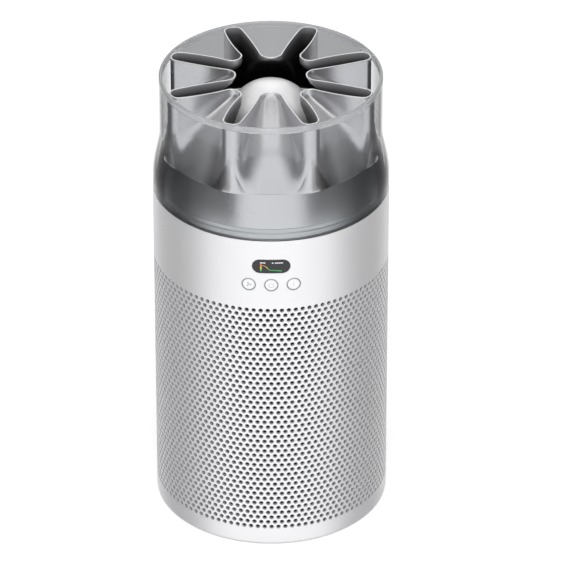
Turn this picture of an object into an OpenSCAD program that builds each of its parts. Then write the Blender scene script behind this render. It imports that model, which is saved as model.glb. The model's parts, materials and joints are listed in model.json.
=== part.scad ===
// Upright air purifier: a perforated cylinder with a drop-out filter below,
// a blower in the middle and a star-shaped outlet inside a clear collar on top.
// Millimetres, +Z up, front (display) towards -Y, origin on the floor at the middle of the foot.

/* [Body] */
// Outer radius of the perforated shroud
body_r = 115; // [115:1:118]
// Wall thickness of the shroud
shroud_t = 2.8; // [2:0.1:3]
// Gap between the floor and the shroud's lower edge
floor_gap = 1.5; // [1.2:0.1:1.6]
// Height of the shroud's upper edge above the floor
shroud_top = 349.2; // [349:0.1:350]

/* [Nozzle and collar] */
// Height of the nozzle's edge above the floor
nozzle_top = 467.5; // [466:0.5:470]
// Height of the nozzle's lower edge
nozzle_base = 395.5; // [394:0.5:396]
// Distance from the axis to the rounded end of each outlet slot
slot_reach = 104; // [103:0.5:104]
// Half of the opening angle of the four pockets on the main axes
pocket_angle_a = 19.8; // [19:0.1:20.5]
// Half of the opening angle of the four diagonal pockets
pocket_angle_b = 25.5; // [25:0.1:26]
// Distance from the axis to the tips of the pockets on the main axes
pocket_tip_a = 35; // [34:0.5:36]
// Distance from the axis to the tips of the diagonal pockets
pocket_tip_b = 45; // [44:0.5:46]
// Wall thickness of the nozzle
nozzle_t = 1.5; // [1.2:0.1:1.6]
// Radius of the rounded dome in the middle of the nozzle
dome_r = 44; // [42:0.5:44]
// Wall thickness of the clear collar
collar_t = 3.2; // [3:0.1:3.2]
// Outer radius of the clear collar at its rim
collar_rim_r = 107.8; // [107.8:0.1:108.5]
// Height of the clear collar's rim above the floor
collar_top = 468.4; // [467:0.1:469]

/* [Controls] */
// Width of the display window
display_w = 36.9; // [30:0.1:40]
// Height of the display window
display_h = 15.2; // [12:0.1:16]
// Height of the display's middle above the floor
display_z = 321.4; // [320:0.1:323]
// Height of the buttons' middle above the floor
button_z = 300.6; // [299:0.1:302]
// Distance between neighbouring buttons
button_pitch = 21.6; // [18:0.1:23]
// Radius of a button's cap
button_r = 5.85; // [5:0.05:6]
// How far a button can be pushed in
button_travel = 0.8; // [0.5:0.1:0.8]

/* [Filter and base] */
// Outer radius of the filter cartridge
filter_r = 100; // [98:0.5:100]
// Number of pleats in the filter paper
pleat_count = 72; // [48:1:80]
// Turn of the base cover from open to locked
base_turn = 20; // [15:1:22]

/* [Blower] */
// Outer radius of the impeller
impeller_r = 74; // [70:1:76]
// Number of impeller blades
blade_count = 9; // [7:1:11]
// Number of diffuser vanes
vane_count = 11; // [9:1:13]
// Radius of the motor shaft
shaft_r = 3; // [2.5:0.1:3]

/* [Hidden] */

cut = 0.5;                  // how far a cutting shape passes a face
fit = 0.06;                 // radial running clearance of pins in bores
gap = 0.3;                  // clearance between pieces that move past each other
round_fn = 96;              // facets of round surfaces in previews

shroud_in = body_r - shroud_t;
bulkhead_z = 276;           // underside of the plate between filter and blower
bulkhead_t = 4;
deck_z = bulkhead_z + bulkhead_t;
head_t = 4;                 // plate that carries the collar and nozzle
head_z = shroud_top - head_t;

// Foot and bayonet ring
foot_h = 3;
foot_in = 106.5;
foot_out = 111.5;
hatch_r = filter_r + 1.6;   // opening that the filter drops through
chassis_h = 18.5;
lug_count = 4;
lug_arc = 14;
lug_slack = 2;              // degrees of room on each side of a lug
lug_z = 8.3;
lug_h = 3.7;
lug_r = hatch_r + 3.4;

// Base cover
base_z = 2.5;
base_r = hatch_r - 0.6;
base_h = 13.5;
base_t = 2.5;
grip_r = 38;
grip_bar = 13;
spigot_r = 8;
roof_z = 17;                // top of the grip recess
cap_z = 19;                 // underside of the filter's bottom cap
cap_t = 3;
screw_r = 1.75;

// Filter cartridge
filter_z = cap_z + cap_t;
filter_top = 264;
core_in = 60;
core_out = 62;
carbon_out = 71;
pleat_in = 72.5;
pleat_out = filter_r - 3;
paper_t = 0.8;

// Blower and motor
throat_r = 44;
lip_r = 12;
housing_in = impeller_r + 10;
housing_t = 2;
housing_out = housing_in + housing_t;
flange_r = housing_out + 8;
impeller_z = 286.5;
hub_top = 319.5;
motor_z = 326;
motor_h = 38;
can_r = 36;
can_in = 34;
isolator_r = 38;
hub_r = 40;
bearing_r = 8;
bearing_h = 5;
stack_z = 337;
stack_h = 15;
magnet_r = 13.5;
lead_z = 340.5;
lead_r = 2;
conduit_r = 2.6;

// Outlet
nozzle_r = slot_reach + 0.2;
floor_low = [nozzle_r, nozzle_base];    // the pockets' floor falls from floor_high out to floor_low
floor_high = [pocket_tip_a - 2, nozzle_top - 1];
floor_bulge = 6;
floor_steps = 6;
dome_z = nozzle_top - 9.1 - dome_r;
skirt_z = 361;
skirt_r = 111.3;
flare_z0 = 360;             // the collar narrows between these two heights
flare_z1 = 412;
tip_round_a = 10.5;
tip_round_b = 9;
slot_round = 8.3;

// Controls
board_y = -101;
board_t = 1.6;
bezel_r = 6.95;
bezel_in = button_r + 0.08;
bezel_back = -108.5;
power_y = 97.4;
inlet_z = 305;

// Radius of the collar's outside at height z: straight, then an S-shaped shoulder, then straight
function ease(t) = t <= 0 ? 0 : t >= 1 ? 1 : t * t * (3 - 2 * t);
function collar_r(z) =
    body_r - (body_r - collar_rim_r) * ease((z - flare_z0) / (flare_z1 - flare_z0));

// Unit vector at angle a, and a vector's length
function dir(a) = [cos(a), sin(a)];
function len2(v) = sqrt(v * v);

// Points of a rounded corner at p between neighbours a and b, with radius r in n steps
function corner(a, p, b, r, n) =
    let (u = (a - p) / len2(a - p), v = (b - p) / len2(b - p),
         half = acos(u * v) / 2,
         mid = (u + v) / len2(u + v),
         c = p + mid * r / sin(half),
         s = p + u * r / tan(half) - c,
         e = p + v * r / tan(half) - c,
         a0 = atan2(s[1], s[0]),
         turn = atan2(s[0] * e[1] - s[1] * e[0], s * e))
    [for (i = [0:n]) c + r * dir(a0 + turn * i / n)];

// Corners of the star outline, moved inwards by t. One eighth is worked out and repeated:
// pocket a on the axis, then the slot's two end corners, then pocket b on the diagonal.
function apex_a(t) = pocket_tip_a + tip_round_a - tip_round_a / sin(pocket_angle_a)
    - t / sin(pocket_angle_a);
function apex_b(t) = pocket_tip_b + tip_round_b - tip_round_b / sin(pocket_angle_b)
    - t / sin(pocket_angle_b);
slot_angle = (pocket_angle_a + 45 - pocket_angle_b) / 2;
function along(p, u, reach) = p + u * (reach - p * dir(slot_angle)) / (u * dir(slot_angle));
function eighth(t) =
    let (pa = [apex_a(t), 0], pb = apex_b(t) * dir(45))
    [[pa, tip_round_a + t],
     [along(pa, dir(pocket_angle_a), slot_reach - t), slot_round - t],
     [along(pb, dir(45 - pocket_angle_b), slot_reach - t), slot_round - t],
     [pb, tip_round_b + t]];
function turned(p, a) = [p[0] * cos(a) - p[1] * sin(a), p[0] * sin(a) + p[1] * cos(a)];
function flipped(p) = [p[1], p[0]];
function quarter(t, a) =
    let (e = eighth(t))
    [for (i = [0:3]) [turned(e[i][0], a), e[i][1]],
     for (i = [2:-1:1]) [turned(flipped(e[i][0]), a), e[i][1]]];
function star_corners(t) = [for (a = [0:90:270]) each quarter(t, a)];
function star_outline(t, steps = 6) =
    let (k = star_corners(t), n = len(k))
    [for (i = [0:n - 1])
        each corner(k[(i + n - 1) % n][0], k[i][0], k[(i + 1) % n][0], k[i][1], steps)];

// Closed zigzag of the filter paper
function pleat_line(r0, r1) =
    [for (i = [0:2 * pleat_count - 1]) (i % 2 == 0 ? r0 : r1) * dir(i * 180 / pleat_count)];

// One impeller blade is an arc from the eye to the rim
blade_in = 27;
blade_sweep = 48;
blade_arc = 52;
blade_t = 1.6;
blade_p0 = [blade_in, 0];
blade_p1 = (impeller_r - 0.5) * dir(-blade_sweep);
blade_chord = blade_p1 - blade_p0;
blade_half = len2(blade_chord) / 2;
blade_side = [blade_chord[1], -blade_chord[0]] / len2(blade_chord);
blade_centre = (blade_p0 + blade_p1) / 2
    + blade_side * sqrt(blade_arc * blade_arc - blade_half * blade_half);

$fn = round_fn;

// ---- shared shapes ----

module ring(r_out, r_in, h, z = 0) {
    translate([0, 0, z]) difference() {
        cylinder(r = r_out, h = h);
        translate([0, 0, -cut]) cylinder(r = r_in, h = h + 2 * cut);
    }
}

module pill(w, h) {
    square([w - h, h], center = true);
    for (s = [-1, 1]) translate([s * (w - h) / 2, 0]) circle(d = h);
}

// Lays a flat shape upright at the front, facing -Y, from y0 back to y1
module upright(y0, y1) {
    translate([0, y1, 0]) rotate([90, 0, 0]) linear_extrude(y1 - y0) children();
}

// Screw with its head's underside at the origin and its shank along -Z
module screw(r, length, head_r, head_h) {
    cylinder(r = head_r, h = head_h);
    translate([0, 0, -length]) cylinder(r = r, h = length + 0.1);
}

module arc_block(r_in, r_out, h, z, angle) {
    translate([0, 0, z]) rotate([0, 0, -angle / 2])
        rotate_extrude(angle = angle) translate([r_in, 0]) square([r_out - r_in, h]);
}

// ---- shell ----

module button_places() {
    for (i = [-1:1]) translate([i * button_pitch, 0, button_z]) children();
}

module outer_shroud() {
    color("whitesmoke") difference() {
        ring(body_r, shroud_in, shroud_top - floor_gap, floor_gap);
        translate([0, 0, display_z]) upright(-body_r - cut, -body_r + 15)
            pill(display_w + 0.2, display_h + 0.2);
        button_places() upright(-body_r - cut, -body_r + 15) circle(r = bezel_r);
        translate([0, 0, inlet_z]) upright(body_r - 15, body_r + cut) pill(24, 15);
    }
}

module foot_ring() {
    color("dimgray") rotate_extrude() polygon([
        [foot_in + 0.6, 0], [foot_out - 0.6, 0], [foot_out, 0.6],
        [foot_out, foot_h], [foot_in, foot_h], [foot_in, 0.6]
    ]);
}

module lower_chassis() {
    lug_top = lug_z + lug_h + gap;
    groove_arc = lug_arc / 2 + lug_slack + base_turn;
    color("silver") difference() {
        ring(shroud_in, hatch_r, chassis_h, floor_gap);
        ring(foot_out, foot_in, foot_h, 0);
        for (i = [0:lug_count - 1]) rotate([0, 0, i * 360 / lug_count]) {
            arc_block(hatch_r - 1, lug_r + 0.6, lug_top + 0.5, 0, lug_arc + 2 * lug_slack);
            rotate([0, 0, groove_arc / 2])
                arc_block(hatch_r - 1.5, lug_r + 0.4, lug_h + 2 * gap, lug_z - gap, groove_arc);
        }
    }
}

// ---- blower ----

module bulkhead() {
    color("gainsboro") {
        difference() {
            ring(shroud_in, throat_r + lip_r, bulkhead_t, bulkhead_z);
            for (i = [0:5]) rotate([0, 0, 30 + i * 60])
                translate([flange_r - 4, 0, bulkhead_z - cut])
                    cylinder(r = 1.5, h = bulkhead_t + 2 * cut);
        }
        rotate_extrude() translate([throat_r + lip_r, bulkhead_z + lip_r]) intersection() {
            difference() {
                circle(r = lip_r);
                circle(r = lip_r - 2);
            }
            translate([-lip_r, -lip_r]) square(lip_r);
        }
    }
}

module blower_housing() {
    color("lightgray") difference() {
        union() {
            ring(housing_out, housing_in, shroud_top - deck_z, deck_z);
            ring(flange_r, housing_in, 3, deck_z);
        }
        for (i = [0:5]) rotate([0, 0, 30 + i * 60])
            translate([flange_r - 4, 0, deck_z - cut]) cylinder(r = 1.5, h = 3 + 2 * cut);
        translate([0, 0, lead_z]) upright(housing_in - 2, housing_out + 2) circle(r = conduit_r);
    }
}

module housing_screws() {
    color("slategray") for (i = [0:5]) rotate([0, 0, 30 + i * 60])
        translate([flange_r - 4, 0, deck_z + 3]) screw(1.5, 6.5, 2.8, 2);
}

module blade() {
    intersection() {
        difference() {
            translate(blade_centre) circle(r = blade_arc + blade_t / 2);
            translate(blade_centre) circle(r = blade_arc - blade_t / 2);
        }
        difference() {
            circle(r = impeller_r);
            circle(r = blade_in);
        }
        polygon([[0, 0], 120 * dir(10), 120 * dir(-blade_sweep / 2), 120 * dir(-blade_sweep - 6)]);
    }
}

module impeller() {
    color("dimgray") {
        rotate_extrude() polygon([
            [shaft_r, 292], [9, 292], [12, 297], [40, 309], [impeller_r, 317.5],
            [impeller_r, hub_top], [40, 311.2], [12, 303], [12, hub_top], [shaft_r, hub_top]
        ]);
        rotate_extrude() polygon([
            [47.5, impeller_z], [49, impeller_z], [impeller_r, 302], [impeller_r, 303.6], [47.5, 288.2]
        ]);
        intersection() {
            translate([0, 0, impeller_z]) linear_extrude(hub_top - impeller_z)
                for (i = [0:blade_count - 1]) rotate([0, 0, i * 360 / blade_count]) blade();
            rotate_extrude() polygon([
                [20, 290], [46.8, 288.6], [48, 287.6], [impeller_r, 302.8], [impeller_r, 318],
                [40, 309.8], [20, 301.2]
            ]);
        }
    }
}

module impeller_nut() {
    color("goldenrod") difference() {
        translate([0, 0, 288]) cylinder(r = 5.5, h = 4, $fn = 6);
        translate([0, 0, 288 - cut]) cylinder(r = shaft_r, h = 4 + 2 * cut);
    }
}

module motor_shaft() {
    color("silver") translate([0, 0, 286.5]) cylinder(r = shaft_r, h = motor_z + motor_h - 3.5 - 286.5);
}

module rotor_magnet() {
    color("slategray") ring(magnet_r, shaft_r, stack_h, stack_z);
}

module motor_can() {
    color("silver") difference() {
        union() {
            ring(can_r, can_in, motor_h - 3, motor_z);
            ring(can_in + 1, shaft_r + 1, 3, motor_z);
            ring(bearing_r + 2, bearing_r, bearing_h + 3, motor_z);
        }
        translate([0, 0, lead_z]) upright(can_in - 2, can_r + 1) circle(r = lead_r);
        for (i = [0:3]) rotate([0, 0, 45 + i * 90])
            translate([24, 0, motor_z - cut]) cylinder(r = 3, h = 3 + 2 * cut);
    }
}

module motor_endbell() {
    top = motor_z + motor_h;
    color("gainsboro") difference() {
        union() {
            translate([0, 0, top - 3]) cylinder(r = can_r, h = 3);
            ring(bearing_r + 2, bearing_r, 6, top - 9);
        }
        for (i = [0:3]) rotate([0, 0, i * 90])
            translate([can_in - 5, 0, top - 3 - cut]) cylinder(r = 1.5, h = 3 + 2 * cut);
    }
}

module endbell_screws() {
    color("slategray") for (i = [0:3]) rotate([0, 0, i * 90])
        translate([can_in - 5, 0, motor_z + motor_h]) screw(1.5, 6, 2.8, 2);
}

module motor_stator() {
    color("slategray") translate([0, 0, stack_z]) intersection() {
        union() {
            ring(can_in, can_in - 7.5, stack_h);
            for (i = [0:8]) rotate([0, 0, 10 + i * 40])
                translate([magnet_r + 0.9, -2.4, 0]) cube([12.5, 4.8, stack_h]);
        }
        ring(can_in, magnet_r + 0.7, stack_h);
    }
}

module stator_windings() {
    color("peru") for (i = [0:8]) rotate([0, 0, 10 + i * 40]) translate([0, 0, stack_z]) difference() {
        translate([magnet_r + 3, -3.6, -1.5]) cube([9.5, 7.2, stack_h + 3]);
        translate([magnet_r + 3 - cut, -2.4, 0]) cube([9.5 + 2 * cut, 4.8, stack_h]);
    }
}

module motor_bearings() {
    color("lightsteelblue") for (z = [motor_z + 3, motor_z + motor_h - 9])
        ring(bearing_r, shaft_r + fit / 2, bearing_h, z);
}

module motor_isolator() {
    color("dimgray") ring(isolator_r, can_r, 9, motor_z + 2);
}

module diffuser() {
    color("lightgray") difference() {
        union() {
            ring(hub_r, isolator_r, 24, motor_z);
            intersection() {
                for (i = [0:vane_count - 1]) rotate([0, 0, (i + 0.5) * 360 / vane_count])
                    translate([isolator_r, 0, motor_z + 5.5]) rotate([28, 0, 0])
                        translate([0, -0.8, -6]) cube([housing_in, 1.6, 12]);
                ring(housing_in, hub_r - 1, 24, motor_z - 1);
            }
        }
        translate([0, 0, lead_z]) upright(isolator_r - 4, hub_r + 4) circle(r = conduit_r);
    }
}

module cable_conduit() {
    color("gainsboro") translate([0, 0, lead_z]) upright(isolator_r, housing_out) difference() {
        circle(r = conduit_r);
        circle(r = lead_r);
    }
}

module motor_lead() {
    color("dimgray") translate([0, 0, lead_z]) upright(can_in, power_y) circle(r = lead_r);
}

// ---- outlet ----

module dome_profile(t) {
    translate([0, dome_z]) intersection() {
        circle(r = dome_r - t);
        square(dome_r);
    }
    polygon([
        [0, motor_z + 24], [hub_r - t, motor_z + 24], [dome_r - t, dome_z], [0, dome_z]
    ]);
}

module nozzle_dome() {
    color("gainsboro") rotate_extrude() difference() {
        dome_profile(0);
        dome_profile(2);
        translate([-1, motor_z]) square([hub_r - 2, 24 + cut]);
    }
}

module outlet_duct() {
    color("dimgray") rotate_extrude() polygon([
        [housing_in, shroud_top], [housing_out, shroud_top],
        [nozzle_r, nozzle_base], [nozzle_r - 1.8, nozzle_base]
    ]);
}

module o_ring_groove() {
    rotate_extrude() translate([skirt_r - 0.3, shroud_top + 7]) circle(r = 0.8, $fn = 32);
}

module head_ring() {
    color("lightslategray") difference() {
        union() {
            ring(shroud_in, housing_out, head_t, head_z);
            ring(skirt_r, skirt_r - 2.5, skirt_z - shroud_top + head_t, head_z);
        }
        o_ring_groove();
    }
}

module collar_o_ring() {
    color("dimgray") o_ring_groove();
}

module nozzle_skirt() {
    color("silver") rotate_extrude() polygon([
        [skirt_r - 1.8, skirt_z], [skirt_r, skirt_z], [nozzle_r + 1.6, nozzle_base],
        [nozzle_r, nozzle_base], [nozzle_r, nozzle_base - 4.5]
    ]);
}

// Point u (0 to 1) of the pockets' bulging floor line, moved inwards by t
function floor_point(u, t) =
    let (chord = floor_high - floor_low, out = [chord[1], -chord[0]] / len2(chord))
    floor_low + chord * u + out * (floor_bulge * 4 * u * (1 - u) - t);

// Solid that the pockets' floors leave standing
module pocket_floor(t) {
    rotate_extrude() polygon([
        [0, nozzle_base - 2 * t], [floor_point(0, t)[0], nozzle_base - 2 * t],
        for (i = [0:floor_steps]) floor_point(i / floor_steps, t),
        [0, floor_point(1, t)[1]]
    ]);
}

module star_solid(t) {
    translate([0, 0, nozzle_base - t])
        linear_extrude(nozzle_top - nozzle_base + 2 * t) polygon(star_outline(t));
    pocket_floor(t);
}

module star_nozzle() {
    color("silver") difference() {
        star_solid(0);
        star_solid(nozzle_t);
    }
}

module clear_collar() {
    steps = 12;
    flare = [for (i = [0:steps]) flare_z0 + (flare_z1 - flare_z0) * i / steps];
    color("gainsboro", 0.35) rotate_extrude() polygon([
        [body_r - collar_t, shroud_top], [body_r, shroud_top],
        for (z = flare) [collar_r(z), z],
        [collar_rim_r, collar_top - 0.8], [collar_rim_r - 0.8, collar_top],
        [collar_rim_r - collar_t + 0.8, collar_top], [collar_rim_r - collar_t, collar_top - 0.8],
        for (i = [steps:-1:0]) [collar_r(flare[i]) - collar_t, flare[i]]
    ]);
}

// ---- controls ----

module display_window() {
    color("black") intersection() {
        translate([0, 0, display_z]) upright(-body_r - 1, -body_r + 12) pill(display_w, display_h);
        ring(body_r, shroud_in, display_h + 2 * cut, display_z - display_h / 2 - cut);
    }
}

module display_module() {
    color("dimgray") translate([0, 0, display_z]) upright(-body_r + 5, board_y)
        square([display_w - 4, display_h - 2], center = true);
}

module board_holes(x, z_low, z_high, y0, y1) {
    for (sx = [-1, 1], z = [z_low, z_high]) translate([sx * x, 0, z]) upright(y0, y1) circle(r = 1.25);
}

module control_board() {
    color("darkgreen") difference() {
        translate([-42, board_y, 290]) cube([84, board_t, 48]);
        board_holes(38, 294, 334, board_y - cut, board_y + board_t + cut);
    }
}

module control_bracket() {
    y = board_y + board_t;
    color("gainsboro") difference() {
        translate([-42, y, deck_z]) cube([84, 2, 60]);
        translate([-30, y - cut, 296]) cube([60, 2 + 2 * cut, 36]);
        board_holes(38, 294, 334, y - cut, y + 2 + cut);
    }
}

module board_screws() {
    color("slategray") {
        for (x = [-38, 38], z = [294, 334])
            translate([x, board_y, z]) rotate([90, 0, 0]) screw(1.25, 4.6, 2.4, 1.6);
        for (x = [-34, 34], z = [290, 334])
            translate([x, power_y, z]) rotate([90, 0, 0]) screw(1.25, 4.6, 2.4, 1.6);
    }
}

module button_bezels() {
    color("darkgray") intersection() {
        button_places() upright(-body_r - 1, bezel_back) difference() {
            circle(r = bezel_r);
            circle(r = bezel_in);
        }
        translate([0, 0, button_z - 10]) cylinder(r = body_r, h = 20);
    }
}

// Button number i counts from the middle: a curved cap, a flange that keeps it in and a stem
module button(i) {
    x = i * button_pitch;
    intersection() {
        translate([x, 0, button_z]) upright(-body_r - 1, bezel_back + 0.8) circle(r = button_r);
        translate([0, 0, button_z - 10]) cylinder(r = body_r, h = 20);
    }
    translate([x, 0, button_z]) {
        upright(bezel_back + gap, bezel_back + gap + 1) circle(r = bezel_r - 0.25);
        upright(bezel_back + gap + 0.5, board_y - 3.9) circle(r = 2);
    }
}

module fan_button() {
    color("white") button(-1);
}

module power_button() {
    color("white") button(0);
}

module info_button() {
    color("white") button(1);
}

module button_switches() {
    color("dimgray") button_places() {
        upright(board_y - 1.8, board_y) square(6.2, center = true);
        upright(board_y - 2.8, board_y - 1.7) circle(r = 1.6);
    }
}

module power_board() {
    color("darkgreen") difference() {
        union() {
            translate([-38, power_y, 286]) cube([76, board_t, 52]);
            for (x = [-24, 24]) translate([x, 0, 322]) upright(power_y - 9, power_y + 0.5) circle(r = 5);
            translate([-14, power_y - 6, 292]) cube([28, 6.5, 16]);
        }
        board_holes(34, 290, 334, power_y - cut, power_y + board_t + cut);
    }
}

module power_bracket() {
    y = power_y + board_t;
    color("gainsboro") difference() {
        translate([-40, y, deck_z]) cube([80, 2, 60]);
        translate([-14, y - cut, inlet_z - 10]) cube([28, 2 + 2 * cut, 20]);
        board_holes(34, 290, 334, y - cut, y + 2 + cut);
    }
}

module power_inlet() {
    y = power_y + board_t;
    color("dimgray") translate([0, 0, inlet_z]) difference() {
        intersection() {
            upright(y, body_r) pill(23.8, 14.8);
            translate([0, 0, -20]) cylinder(r = body_r, h = 40);
        }
        upright(y + 2.2, body_r + cut) pill(17, 8.6);
    }
}

module inlet_pins() {
    color("silver") for (x = [-4.3, 4.3])
        translate([x, 0, inlet_z])
            upright(power_y + board_t + 2.2, power_y + board_t + 11) circle(r = 1.2);
}

module air_sensor() {
    color("steelblue") difference() {
        translate([95, -14, deck_z]) cube([14, 28, 38]);
        translate([105, 0, deck_z + 26]) rotate([0, 90, 0]) cylinder(r = 4, h = 6);
    }
}

// ---- base cover ----

module base_cover() {
    color("whitesmoke") difference() {
        union() {
            ring(base_r, grip_r, base_t, base_z);
            ring(base_r, base_r - 2.5, base_h, base_z);
            ring(grip_r + 2, grip_r, roof_z - base_z, base_z);
            translate([0, 0, roof_z - 2]) cylinder(r = grip_r + 2, h = 2);
            intersection() {
                translate([-grip_bar / 2, -grip_r - 1, base_z])
                    cube([grip_bar, 2 * grip_r + 2, roof_z - base_z]);
                translate([0, 0, base_z]) cylinder(r = grip_r + 1, h = roof_z);
            }
            for (i = [0:5]) rotate([0, 0, i * 60])
                translate([grip_r + 1, -1, base_z + 1]) cube([base_r - grip_r - 3, 2, 10]);
            translate([0, 0, roof_z - 1]) cylinder(r = spigot_r, h = cap_z + cap_t + gap - roof_z + 1);
            for (i = [0:lug_count - 1]) rotate([0, 0, i * 360 / lug_count])
                arc_block(base_r - 1, lug_r, lug_h, lug_z, lug_arc);
        }
        translate([0, 0, 10]) cylinder(r = screw_r, h = 20);
    }
}

module retainer_washer() {
    color("silver") ring(13, screw_r, 1.7, filter_z + gap);
}

module retainer_screw() {
    color("slategray") translate([0, 0, filter_z + gap + 1.7])
        screw(screw_r, filter_z + gap + 1.7 - 10, 4, 2.6);
}

// ---- filter cartridge ----

module thrust_washer() {
    color("gainsboro") ring(20, spigot_r + gap, cap_z - roof_z - gap, roof_z + gap);
}

module filter_bottom_cap() {
    color("lightgray") {
        ring(filter_r, spigot_r + fit, cap_t, cap_z);
        ring(filter_r, filter_r - 2, 11, cap_z);
    }
}

module filter_top_cap() {
    color("lightgray") {
        ring(filter_r, core_in - 2, 3, filter_top);
        ring(filter_r, filter_r - 2, 11, filter_top - 8);
    }
}

module hepa_pleats() {
    color("ivory") translate([0, 0, filter_z]) linear_extrude(filter_top - filter_z) difference() {
        polygon(pleat_line(pleat_in + paper_t, pleat_out));
        polygon(pleat_line(pleat_in, pleat_out - 4 * paper_t));
    }
}

module prefilter_mesh() {
    color("dimgray") ring(filter_r - 2.1, filter_r - 2.9, filter_top - filter_z, filter_z);
}

module carbon_sleeve() {
    color("dimgray") ring(carbon_out, core_out + 0.2, filter_top - filter_z, filter_z);
}

module filter_core() {
    rows = 5;
    pitch = (filter_top - filter_z) / rows;
    color("gray") difference() {
        ring(core_out, core_in, filter_top - filter_z, filter_z);
        for (k = [0:rows - 1], i = [0:5]) rotate([0, 0, i * 30])
            translate([-core_out - 2, -11, filter_z + pitch * k + 6])
                cube([2 * core_out + 4, 22, pitch - 12]);
    }
}

module filter_seal() {
    color("dimgray") ring(68, core_in, bulkhead_z - 0.4 - filter_top - 3, filter_top + 3);
}

outer_shroud();
foot_ring();
lower_chassis();
bulkhead();
blower_housing();
housing_screws();
impeller();
impeller_nut();
motor_shaft();
rotor_magnet();
motor_can();
motor_endbell();
motor_stator();
stator_windings();
motor_bearings();
motor_isolator();
endbell_screws();
diffuser();
cable_conduit();
motor_lead();
nozzle_dome();
outlet_duct();
head_ring();
collar_o_ring();
nozzle_skirt();
star_nozzle();
clear_collar();
display_window();
display_module();
control_board();
control_bracket();
board_screws();
button_bezels();
fan_button();
power_button();
info_button();
button_switches();
power_board();
power_bracket();
power_inlet();
inlet_pins();
air_sensor();
base_cover();
retainer_washer();
retainer_screw();
thrust_washer();
filter_bottom_cap();
filter_top_cap();
prefilter_mesh();
hepa_pleats();
carbon_sleeve();
filter_core();
filter_seal();
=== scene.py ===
"""Looks of the air purifier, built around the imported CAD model.

Blender's own values are in metres. The sizes and the mesh helpers below are in millimetres.
"""
import json
import math

import bmesh
import bpy
import numpy as np
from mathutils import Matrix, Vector
from mathutils.geometry import delaunay_2d_cdt


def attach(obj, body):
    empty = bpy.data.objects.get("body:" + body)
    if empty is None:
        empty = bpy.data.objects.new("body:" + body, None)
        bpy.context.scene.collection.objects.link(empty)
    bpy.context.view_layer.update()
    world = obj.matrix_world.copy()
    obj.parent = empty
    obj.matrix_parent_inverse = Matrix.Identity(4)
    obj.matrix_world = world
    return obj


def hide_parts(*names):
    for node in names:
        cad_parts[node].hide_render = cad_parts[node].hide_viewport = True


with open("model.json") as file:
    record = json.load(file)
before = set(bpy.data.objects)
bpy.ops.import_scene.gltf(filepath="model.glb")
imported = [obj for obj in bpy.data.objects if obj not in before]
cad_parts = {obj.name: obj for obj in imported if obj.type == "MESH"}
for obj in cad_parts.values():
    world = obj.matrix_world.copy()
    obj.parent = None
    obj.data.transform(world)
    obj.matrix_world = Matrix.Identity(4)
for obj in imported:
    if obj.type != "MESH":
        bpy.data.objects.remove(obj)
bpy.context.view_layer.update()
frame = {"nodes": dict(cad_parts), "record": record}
MM = 0.001

# ---- sizes in millimetres ----
BODY_R, SHELL_T = 115.0, 2.8
FLOOR_GAP, SHROUD_TOP = 1.5, 349.2
HOLES, ROWS, ROW_PITCH, FIRST_ROW, HOLE_R = 106, 46, 5.562, 21.4, 2.2
QUARTERS = 4 * HOLES
HOLES_LOW = FIRST_ROW - ROW_PITCH / 2
HOLES_HIGH = HOLES_LOW + ROWS * ROW_PITCH
DISPLAY_W, DISPLAY_H, DISPLAY_Z = 36.9, 15.2, 321.4
BUTTON_Z, BUTTON_PITCH, BUTTON_R, BEZEL_R = 300.6, 21.6, 5.85, 6.95
INLET_Z = 305.0
NOZZLE_TOP, NOZZLE_BASE, NOZZLE_R, NOZZLE_T = 467.5, 395.5, 104.2, 1.5
SLOT_REACH, TIP_A, TIP_B = 104.0, 35.0, 45.0
ANGLE_A, ANGLE_B = 19.8, 25.5
ROUND_A, ROUND_B, ROUND_SLOT = 10.5, 9.0, 8.3
FLOOR_LOW, FLOOR_HIGH, FLOOR_BULGE = (104.2, 395.5), (33.0, 466.5), 6.0
DOME_R, DOME_Z = 44.0, 414.4
COLLAR_T, COLLAR_RIM, COLLAR_TOP, LIP_LOW = 3.2, 107.8, 468.4, 462.6
SKIRT_R, SKIRT_Z = 111.3, 361.0


# ---- mesh helpers ----

def make(name, points, faces, material, sharp=32, weld=0.0):
    """Object from points in millimetres. weld merges points closer than that."""
    mesh = bpy.data.meshes.new(name)
    mesh.from_pydata([Vector(p) * MM for p in points], [], faces)
    bm = bmesh.new()
    bm.from_mesh(mesh)
    if weld:
        bmesh.ops.remove_doubles(bm, verts=bm.verts, dist=weld * MM)
        bmesh.ops.dissolve_degenerate(bm, edges=bm.edges, dist=1e-8)
    bmesh.ops.recalc_face_normals(bm, faces=bm.faces)
    bm.to_mesh(mesh)
    bm.free()
    mesh.shade_smooth()
    mesh.set_sharp_from_angle(angle=math.radians(sharp))
    mesh.materials.append(material)
    obj = bpy.data.objects.new(name, mesh)
    bpy.context.scene.collection.objects.link(obj)
    return obj


def rounded(corners, step=15.0):
    """Closed outline with its corners rounded. corners is a list of (x, y, radius)."""
    out = []
    n = len(corners)
    for i, (x, y, r) in enumerate(corners):
        p = np.array((x, y))
        if r <= 0:
            out.append((x, y))
            continue
        a = np.array(corners[i - 1][:2]) - p
        b = np.array(corners[(i + 1) % n][:2]) - p
        a, b = a / np.linalg.norm(a), b / np.linalg.norm(b)
        half = math.acos(float(np.clip(a @ b, -1, 1))) / 2
        centre = p + (a + b) / np.linalg.norm(a + b) * r / math.sin(half)
        s = p + a * r / math.tan(half) - centre
        e = p + b * r / math.tan(half) - centre
        start = math.atan2(s[1], s[0])
        turn = math.atan2(s[0] * e[1] - s[1] * e[0], s @ e)
        count = max(2, round(abs(math.degrees(turn)) / step))
        for k in range(count + 1):
            angle = start + turn * k / count
            out.append(tuple(centre + r * np.array((math.cos(angle), math.sin(angle)))))
    return out


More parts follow.
